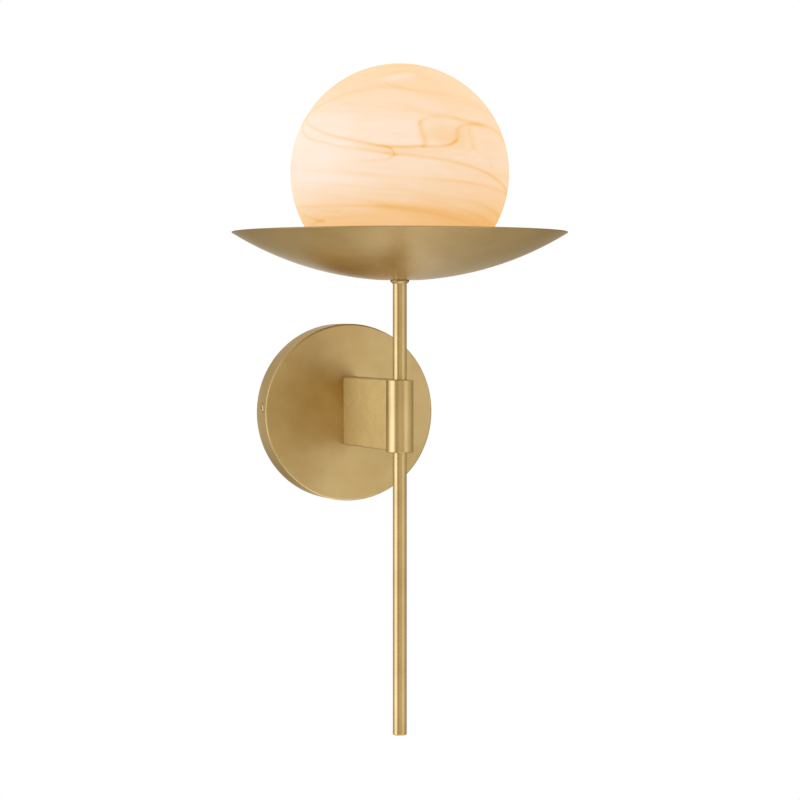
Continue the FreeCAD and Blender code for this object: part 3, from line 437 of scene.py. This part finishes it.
# An upright vein's point is (height, longitude, strength), and its half widths are in degrees.
upright_veins = [
    # the left arch's leg, the leg between the arches, and the faint one to its right
    (1.4, 1.6, [(0.165, 12, 0), (0.18, 12, firm), (0.22, 13.2, dark), (0.26, 12.7, dark),
                (0.31, 11.6, firm), (0.355, 11.2, firm), (0.39, 11.3, firm), (0.42, 13, 0)]),
    (1.8, 1.6, [(0.20, 27, 0), (0.215, 29, firm), (0.24, 31, dark), (0.27, 32, firm),
                (0.303, 32.4, firm), (0.35, 33.5, firm), (0.373, 36, firm), (0.39, 39, clear),
                (0.405, 43, 0)]),
    (1.7, 1.7, [(0.0, 56, 0), (0.03, 55.5, faint), (0.06, 54.5, light), (0.105, 51.5, faint),
                (0.14, 45.5, trace), (0.19, 41.5, soft), (0.25, 41.3, light), (0.31, 41, light),
                (0.36, 41.5, light), (0.40, 42.3, 0)]),
]
# The glass's tone by height, as (height, its own tone in the middle, deeper towards the right by, a painted
# shade).
glass_by_height = [(-0.50, 0.78, 0.14), (-0.40, 0.62, 0.16), (-0.30, 0.46, 0.16), (-0.20, 0.34, 0.20),
                   (-0.10, 0.27, 0.20), (0.0, 0.23, 0.16), (0.1, 0.19, 0.15), (0.3, 0.17, 0.18),
                   (0.4, 0.19, 0.18), (0.5, 0.25, 0.12), (0.6, 0.31, 0.08), (0.7, 0.37, 0.05),
                   (0.8, 0.44, 0), (1.0, 0.50, 0)]
glass_streak_slope = 0.09            # how much the streaks rise towards the left
glass_streak_stretch = 9.0           # how much longer than high they are
glass_streak_reach = 0.10            # how far they move the tone, and the clouds
glass_cloud_reach = 0.05
limb_from = 0.80                     # how edge-on the glass is where the painted shade at its rim starts
limb_shade_depth = 0.30
glass_base_share = 0.13              # how much of the tone is base colour, which the room lights
glass_glow = 0.88                    # how strongly the tone shines by itself, as if lit from inside
glass_specular = 0.15
glass_roughness = 0.5


def vein(tree, along, across, half_below, half_above, points):
    """A soft line that follows a smooth curve, as strong as its points say."""
    middle = tree.curve(along, [(place, height) for place, height, strength in points])
    strength = tree.curve(along, [(place, strength) for place, height, strength in points])
    away = tree.math("SUBTRACT", across, middle)
    half_width = tree.mix_value(tree.math("GREATER_THAN", away, 0.0), half_below, half_above)
    share = tree.math("DIVIDE", away, half_width)
    line = tree.math("EXPONENT", tree.math("MULTIPLY", tree.math("MULTIPLY", share, share), -1.0))
    return tree.math("MULTIPLY", line, strength)


def swirl_glass():
    material, tree, shader = new_material("swirl_glass")
    point = tree.vector("SCALE", object_point(tree, globe_centre), scale=1 / globe_radius)
    front = tree.vector("DOT_PRODUCT", point, (-math.sin(globe_front), -math.cos(globe_front), 0))
    side = tree.vector("DOT_PRODUCT", point, (math.cos(globe_front), -math.sin(globe_front), 0))
    longitude = tree.math("MULTIPLY", tree.math("ARCTAN2", side, front), 180 / math.pi)
    back = tree.math("MULTIPLY", front, -1.0)
    from_back = tree.math("MULTIPLY", tree.math("ARCTAN2", side, back), 180 / math.pi)
    x, y, height = tree.split(point)
    slanted = tree.math("ADD", height, tree.math("MULTIPLY", side, glass_streak_slope))
    streaks = tree.noise(tree.join(x, y, tree.math("MULTIPLY", slanted, glass_streak_stretch)), 1.4,
                         detail=4.0, roughness=0.6, distortion=0.6)
    cloud = tree.noise(point, 1.6, detail=2.0, roughness=0.5, distortion=0.8)
    amber = tree.curve(height, [(level, middle) for level, middle, deeper in glass_by_height])
    painted_shade_rightwards = tree.curve(height, [(level, deeper) for level, middle, deeper in glass_by_height])
    # painted shade: the tone deepens towards the globe's right side
    amber = tree.math("ADD", amber, tree.math("MULTIPLY", side, painted_shade_rightwards))
    for texture, reach in ((streaks, glass_streak_reach), (cloud, glass_cloud_reach)):
        unevenness = tree.ramp(texture.outputs["Fac"], 0.2, 0.8, -reach, reach, smooth=False)
        amber = tree.math("ADD", amber, unevenness)
    for along, across, veins in ((longitude, height, front_veins), (from_back, height, back_veins),
                                 (height, longitude, upright_veins)):
        for half_below, half_above, points in veins:
            amber = tree.math("ADD", amber, vein(tree, along, across, half_below, half_above, points))
    limb = tree.add("ShaderNodeLayerWeight").outputs["Facing"]
    # painted shade: the tone deepens where the glass turns edge-on
    amber = tree.math("ADD", amber, tree.ramp(limb, limb_from, 1.0, 0.0, limb_shade_depth))
    colour = tree.tones(amber, glass_tones)
    tree.put(shader.inputs["Base Color"], tree.mix(glass_base_share, (0.0, 0.0, 0.0), colour))
    tree.put(shader.inputs["Emission Color"], colour)
    shader.inputs["Emission Strength"].default_value = glass_glow
    shader.inputs["Specular IOR Level"].default_value = glass_specular
    shader.inputs["Roughness"].default_value = glass_roughness
    return material


# ---------------------------------------------------------------- giving every piece its material
finishes = {
    # the canopy's brass is a slightly darker copy: painted shade
    "canopy": brass("brass_canopy", "Y", roughness=0.34, anisotropy=0.80, tint_and_painted_light=(0.95, 0.95, 0.95),
                    lines=0.4),
    "dish": brass("brass_dish", "Z", stem_axis, roughness=0.34, anisotropy=0.4, painted_shade_and_spots=rim_shade),
    "dish_seat_ring": brass("brass_ring", "Z", stem_axis, roughness=0.42, painted_shade_and_spots=ring_shadow),
    # the arm's brass is a much lighter, slightly greener copy: painted light, with a tint
    "arm": brass("brass_arm", roughness=0.62, tint_and_painted_light=(1.50, 1.58, 1.48), metallic=0.75,
                 painted_shade_and_spots=arm_shade_and_spots),
    "satin_brass": brass("brass_turned", "Z", stem_axis, roughness=0.30, anisotropy=0.5),
    "plain_brass": plain("plain_brass", (0.50, 0.34, 0.12), (0.62, 0.45, 0.20), 0.30, metallic=1.0),
    "zinc_steel": plain("zinc_steel", (0.52, 0.53, 0.54), (0.66, 0.67, 0.68), 0.36, metallic=1.0),
    "black_steel": plain("black_steel", (0.03, 0.03, 0.03), (0.06, 0.06, 0.06), 0.40, metallic=0.6),
    "white_enamel": plain("white_enamel", (0.78, 0.77, 0.74), (0.86, 0.85, 0.83), 0.45),
    "silicone": plain("silicone", (0.74, 0.73, 0.70), (0.84, 0.83, 0.80), 0.55),
    "swirl_glass": swirl_glass(),
    "porcelain": plain("porcelain", (0.80, 0.79, 0.75), (0.88, 0.87, 0.84), 0.18),
    "block_plastic": plain("block_plastic", (0.74, 0.72, 0.66), (0.82, 0.81, 0.76), 0.45),
    "bush_plastic": plain("bush_plastic", (0.02, 0.02, 0.02), (0.05, 0.05, 0.05), 0.50),
    "lamp_plastic": plain("lamp_plastic", (0.78, 0.78, 0.77), (0.86, 0.86, 0.85), 0.40),
    "lamp_steel": plain("lamp_steel", (0.55, 0.55, 0.56), (0.68, 0.68, 0.69), 0.25, metallic=1.0),
    "lamp_glass": plain("lamp_glass", (0.82, 0.80, 0.74), (0.92, 0.90, 0.85), 0.35),
    "lamp_ceramic": plain("lamp_ceramic", (0.80, 0.80, 0.78), (0.88, 0.88, 0.86), 0.50),
    "phosphor": plain("phosphor", (0.80, 0.52, 0.08), (0.90, 0.64, 0.14), 0.35),
    "brown_sleeve": plain("brown_sleeve", (0.10, 0.035, 0.015), (0.16, 0.06, 0.03), 0.45),
    "blue_sleeve": plain("blue_sleeve", (0.02, 0.07, 0.30), (0.03, 0.11, 0.42), 0.45),
    "green_sleeve": plain("green_sleeve", (0.06, 0.30, 0.05), (0.60, 0.52, 0.04), 0.45, scale=40.0),
}
slot_of = {row["node"]: row["material_slot"] for row in frame["record"]["subparts"]}
for name, piece in nodes.items():
    material = finishes.get(name) or finishes[slot_of[name]]
    piece.data.materials.clear()
    piece.data.materials.append(material)


# ---------------------------------------------------------------- studio
# What polished metal mirrors, by the angle in degrees past the camera's side, positive to its right.
around_level = [(-180, 1.05), (-173, 0.90), (-165, 0.44), (-150, 0.45), (-135, 0.80), (-118, 0.75),
                (-104, 1.12), (-92, 1.85), (-78, 2.15), (-58, 2.35), (-47, 1.70), (-38, 0.76), (-28, 0.64),
                (-15, 0.79), (5, 1.01), (17, 0.91), (27, 0.88), (38, 1.06), (50, 1.50), (60, 1.45),
                (72, 1.20), (90, 0.98), (110, 0.80), (130, 0.60), (150, 0.42), (165, 0.46), (173, 0.60),
                (180, 1.05)]
around_below = [(-180, 1.90), (-174, 1.15), (-168, 0.84), (-157, 0.85), (-145, 0.60), (-120, 0.50),
                (-60, 0.90), (0, 2.40), (45, 2.50), (100, 0.90), (130, 0.35), (145, 0.60), (157, 0.85),
                (168, 0.90), (174, 1.20), (180, 1.90)]
around_above = [(-180, 0.9), (-90, 1.2), (0, 1.15), (45, 1.15), (90, 1.1), (180, 0.9)]
# The heights of a direction, as shares of its length, from which and at which another curve holds.
below_from = -0.35
below_full = -0.90
above_from = 0.25
above_full = 0.75
green_power = 1.15                   # dim parts of what metal mirrors are warmer than bright ones
blue_power = 1.55
room_light = (0.55, 0.55, 0.55)
backdrop = (1.0, 1.0, 1.0)


def make_world():
    world = bpy.data.worlds.new("studio")
    bpy.context.scene.world = world
    world.use_nodes = True
    tree = Tree(world.node_tree)
    path = tree.add("ShaderNodeLightPath")
    seen = tree.math("MAXIMUM", path.outputs["Is Camera Ray"], path.outputs["Is Transmission Ray"])
    direction = tree.add("ShaderNodeTexCoord").outputs["Generated"]
    aside = math.sin(camera_heading)
    ahead = math.cos(camera_heading)
    to_camera = tree.vector("DOT_PRODUCT", direction, (-aside, -ahead, 0))
    to_right = tree.vector("DOT_PRODUCT", direction, (ahead, -aside, 0))
    angle = tree.math("MULTIPLY", tree.math("ARCTAN2", to_right, to_camera), 180 / math.pi)
    height = tree.split(direction)[2]
    level = tree.curve(angle, around_level)
    below = tree.curve(angle, around_below)
    above = tree.curve(angle, around_above)
    light = tree.mix_value(tree.ramp(height, below_from, below_full), level, below)
    light = tree.mix_value(tree.ramp(height, above_from, above_full), light, above)
    mirrored = tree.join(light, tree.math("POWER", light, green_power), tree.math("POWER", light, blue_power))
    colour = tree.mix(path.outputs["Is Glossy Ray"], room_light, mirrored)
    colour = tree.mix(seen, colour, backdrop)
    background = tree.add("ShaderNodeBackground")
    tree.put(background.inputs["Color"], colour)
    output = tree.add("ShaderNodeOutputWorld")
    tree.put(output.inputs["Surface"], background.outputs[0])


floor_height = -0.60
floor_radius = 1.0
floor_fade_from = 0.5                # from here to its edge the floor fades into the backdrop
floor_colour = (0.80, 0.79, 0.77, 1.0)
floor_glow = 0.35


def make_floor():
    shape = bmesh.new()
    bmesh.ops.create_circle(shape, cap_ends=True, segments=128, radius=floor_radius)
    bmesh.ops.translate(shape, verts=shape.verts, vec=(0, 0, floor_height))
    mesh = bpy.data.meshes.new("floor")
    shape.to_mesh(mesh)
    shape.free()
    floor = bpy.data.objects.new("floor", mesh)
    bpy.context.scene.collection.objects.link(floor)
    material = bpy.data.materials.new("floor")
    material.use_nodes = True
    tree = Tree(material.node_tree)
    point = tree.add("ShaderNodeTexCoord").outputs["Object"]
    distance = tree.vector("LENGTH", tree.vector("MULTIPLY", point, (1.0, 1.0, 0.0)))
    path = tree.add("ShaderNodeLightPath")
    seen = tree.math("MAXIMUM", path.outputs["Is Camera Ray"], path.outputs["Is Transmission Ray"])
    seen = tree.math("MAXIMUM", seen, path.outputs["Is Glossy Ray"])
    matte = tree.add("ShaderNodeBsdfDiffuse")
    matte.inputs["Color"].default_value = floor_colour
    glow = tree.add("ShaderNodeEmission")
    tree.put(glow.inputs["Strength"], tree.math("MULTIPLY", seen, floor_glow))
    lit = tree.add("ShaderNodeAddShader")
    tree.put(lit.inputs[0], matte.outputs[0])
    tree.put(lit.inputs[1], glow.outputs[0])
    white = tree.add("ShaderNodeEmission")
    white.inputs["Strength"].default_value = 1.0
    fade = tree.add("ShaderNodeMixShader")
    faded = tree.ramp(distance, floor_fade_from, floor_radius)
    tree.put(fade.inputs[0], tree.math("MULTIPLY", faded, seen))
    tree.put(fade.inputs[1], lit.outputs[0])
    tree.put(fade.inputs[2], white.outputs[0])
    output = tree.add("ShaderNodeOutputMaterial")
    tree.put(output.inputs["Surface"], fade.outputs[0])
    mesh.materials.append(material)
    floor.visible_glossy = False


aim_height = 0.05


def softbox(name, azimuth, elevation, distance, width, height, radiance):
    """An area lamp aimed at the light. Azimuth is from the camera's side, positive to its right."""
    heading = -camera_heading + math.radians(azimuth)
    tilt = math.radians(elevation)
    away = Vector((math.sin(heading) * math.cos(tilt), -math.cos(heading) * math.cos(tilt), math.sin(tilt)))
    target = Vector((stem_axis.x, stem_axis.y, aim_height))
    lamp = bpy.data.lights.new(name, "AREA")
    lamp.shape = "RECTANGLE"
    lamp.size = width
    lamp.size_y = height
    lamp.energy = radiance * math.pi * width * height
    holder = bpy.data.objects.new(name, lamp)
    holder.location = target + away * distance
    holder.rotation_euler = (-away).to_track_quat("-Z", "Y").to_euler()
    holder.visible_glossy = False
    bpy.context.scene.collection.objects.link(holder)


def make_camera():
    camera = bpy.data.cameras.new("camera")
    camera.sensor_width = sensor_width
    camera.lens = focal_length
    holder = bpy.data.objects.new("camera", camera)
    holder.location = camera_place
    holder.rotation_euler = (math.pi / 2 - camera_pitch_down, 0, -camera_heading)
    bpy.context.scene.collection.objects.link(holder)
    bpy.context.scene.camera = holder


make_world()
make_floor()
softbox("softbox_left", azimuth=-62, elevation=8, distance=1.6, width=0.7, height=1.6, radiance=2.2)
softbox("softbox_right", azimuth=70, elevation=12, distance=1.8, width=1.0, height=1.6, radiance=0.8)
softbox("softbox_top", azimuth=0, elevation=75, distance=1.6, width=1.4, height=1.0, radiance=1.2)
make_camera()
bpy.context.scene.view_settings.view_transform = "Standard"
